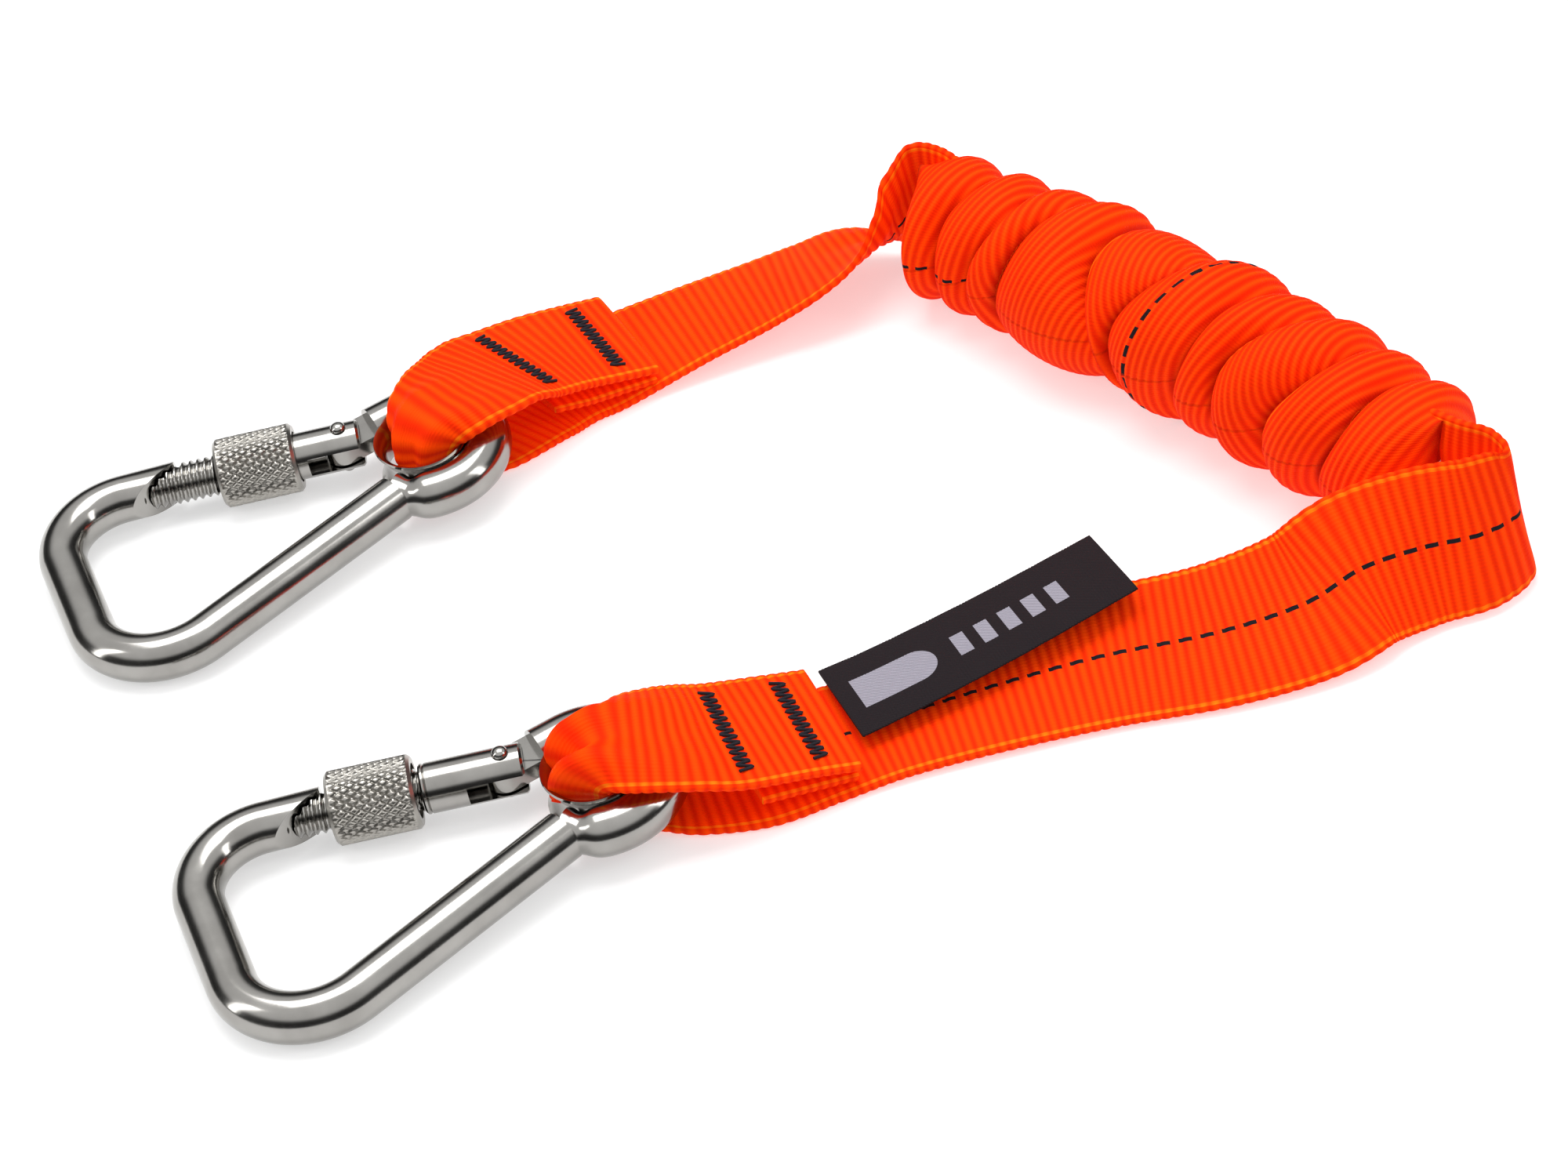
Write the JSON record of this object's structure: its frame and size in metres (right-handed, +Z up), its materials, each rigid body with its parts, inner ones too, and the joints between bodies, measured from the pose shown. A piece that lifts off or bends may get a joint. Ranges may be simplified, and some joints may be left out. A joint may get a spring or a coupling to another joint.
{
  "type": "shock absorbing lanyard",
  "caption": "Shock absorbing tool lanyard laid in a U: gathered tubular webbing over an elastic core, looped at each end through the eye of a screw gate carabiner.",
  "frame": {"origin": "on the bench, under the centre of the box around the two carabiners", "axes": "+Z up from the bench; -X the carabiner gates point this way, away from the webbing; +Y from the front carabiner to the rear one"},
  "size_m": [0.2358, 0.1696, 0.028],
  "materials": {
    "steel": "polished stainless steel",
    "knurled_steel": "knurled stainless steel",
    "spring_steel": "drawn spring wire",
    "webbing": "ribbed tubular polyester webbing, fluorescent orange",
    "core": "covered elastic cord",
    "thread": "sewn bar tack thread",
    "label": "woven satin label"
  },
  "bodies": {
    "webbing": {"rear_webbing": "webbing", "gathered_webbing": "webbing", "front_webbing": "webbing", "rear_flap_fold": "webbing", "front_flap_fold": "webbing", "elastic_core": "core", "label_tag": "label", "rear_tack_outer": "thread", "rear_tack_inner": "thread", "front_tack_outer": "thread", "front_tack_inner": "thread"},
    "rear_carabiner": {"rear_hook_body": "steel", "rear_hinge_pin": "steel", "rear_thimble": "steel"},
    "rear_gate": {"rear_gate": "steel", "rear_gate_spring": "spring_steel"},
    "rear_sleeve": {"rear_screw_sleeve": "knurled_steel"},
    "rear_plunger": {"rear_plunger": "steel"},
    "front_carabiner": {"front_hook_body": "steel", "front_hinge_pin": "steel", "front_thimble": "steel"},
    "front_gate": {"front_gate": "steel", "front_gate_spring": "spring_steel"},
    "front_sleeve": {"front_screw_sleeve": "knurled_steel"},
    "front_plunger": {"front_plunger": "steel"}
  },
  "joints": [
    {"name": "rear_swivel", "type": "hinge", "parent": "webbing", "child": "rear_carabiner", "pos_m": [0.01503, 0.05542, 0.00707], "axis": [0, 0, 1], "range_deg": [-25, 12]},
    {"name": "rear_gate_hinge", "type": "hinge", "parent": "rear_carabiner", "child": "rear_gate", "pos_m": [0.00144, 0.06121, 0.00686], "axis": [-0.0332, -0.0423, 0.9986], "range_deg": [0, 20], "stiffness_Nm_per_rad": 0.1, "springref_deg": -17.19},
    {"name": "rear_sleeve_travel", "type": "slide", "parent": "rear_gate", "child": "rear_sleeve", "axis": [-0.9993, -0.015, -0.0339], "range_m": [0, 0.006]},
    {"name": "rear_plunger_slide", "type": "slide", "parent": "rear_gate", "child": "rear_plunger", "axis": [-0.9993, -0.015, -0.0339], "range_m": [0, 0.0004], "deforming": ["rear_gate_spring"]},
    {"name": "front_swivel", "type": "hinge", "parent": "webbing", "child": "front_carabiner", "pos_m": [0.03607, -0.03112, 0.00707], "axis": [0, 0, 1], "range_deg": [-12, 25]},
    {"name": "front_gate_hinge", "type": "hinge", "parent": "front_carabiner", "child": "front_gate", "pos_m": [0.02254, -0.02519, 0.00686], "axis": [-0.0336, -0.0419, 0.9986], "range_deg": [0, 20], "stiffness_Nm_per_rad": 0.1, "springref_deg": -17.19},
    {"name": "front_sleeve_travel", "type": "slide", "parent": "front_gate", "child": "front_sleeve", "axis": [0.9994, 0.0045, 0.0339], "range_m": [0, 0.006]},
    {"name": "front_plunger_slide", "type": "slide", "parent": "front_gate", "child": "front_plunger", "axis": [-0.9994, -0.0045, -0.0339], "range_m": [0, 0.0004], "deforming": ["front_gate_spring"]}
  ],
  "couplings": [
    {"joint": "rear_plunger_slide", "follows": "rear_gate_hinge", "m_per_rad": 0.001},
    {"joint": "front_plunger_slide", "follows": "front_gate_hinge", "m_per_rad": 0.001}
  ]
}
